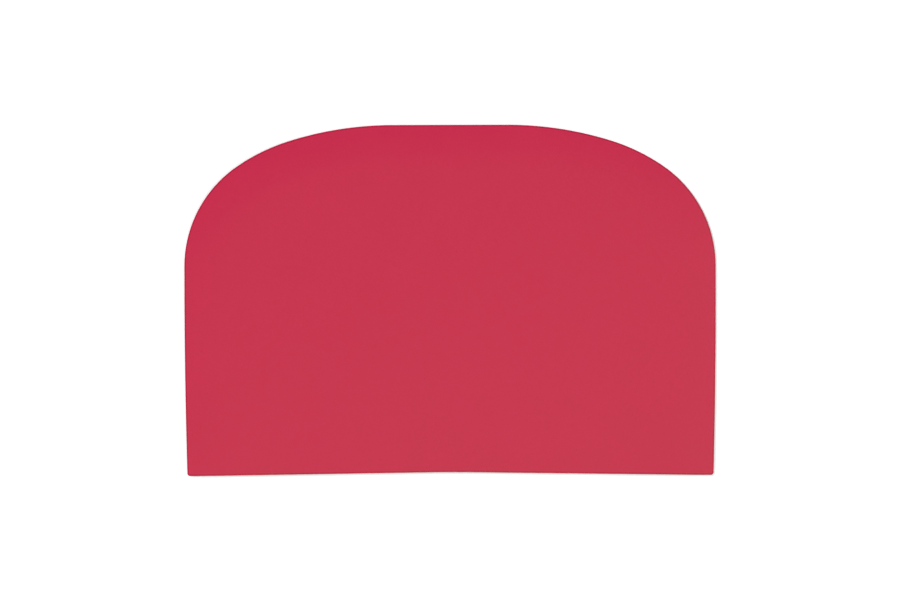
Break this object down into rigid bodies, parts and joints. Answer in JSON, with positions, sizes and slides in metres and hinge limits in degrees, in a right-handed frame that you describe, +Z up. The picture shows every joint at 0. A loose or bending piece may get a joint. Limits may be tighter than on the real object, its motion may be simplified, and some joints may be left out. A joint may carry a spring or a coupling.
{
  "type": "bowl scraper",
  "caption": "Flat D-shaped plastic bowl scraper, one straight edge for the bench and one thinner curved edge for bowls.",
  "frame": {"origin": "on the flat back, at the centre of the plan, so the plate lies on Z = 0", "axes": "+X along the straight edge, to the right in the picture; +Y towards the curved edge; +Z up through the thickness, out of the face with the roll-off"},
  "size_m": [0.14, 0.0924, 0.0015],
  "materials": {
    "red_polypropylene": "crimson all through, moulded with a fine spark-eroded matt grain on both faces"
  },
  "bodies": {
    "root": {"scraper_blade": "red_polypropylene"}
  },
  "joints": []
}
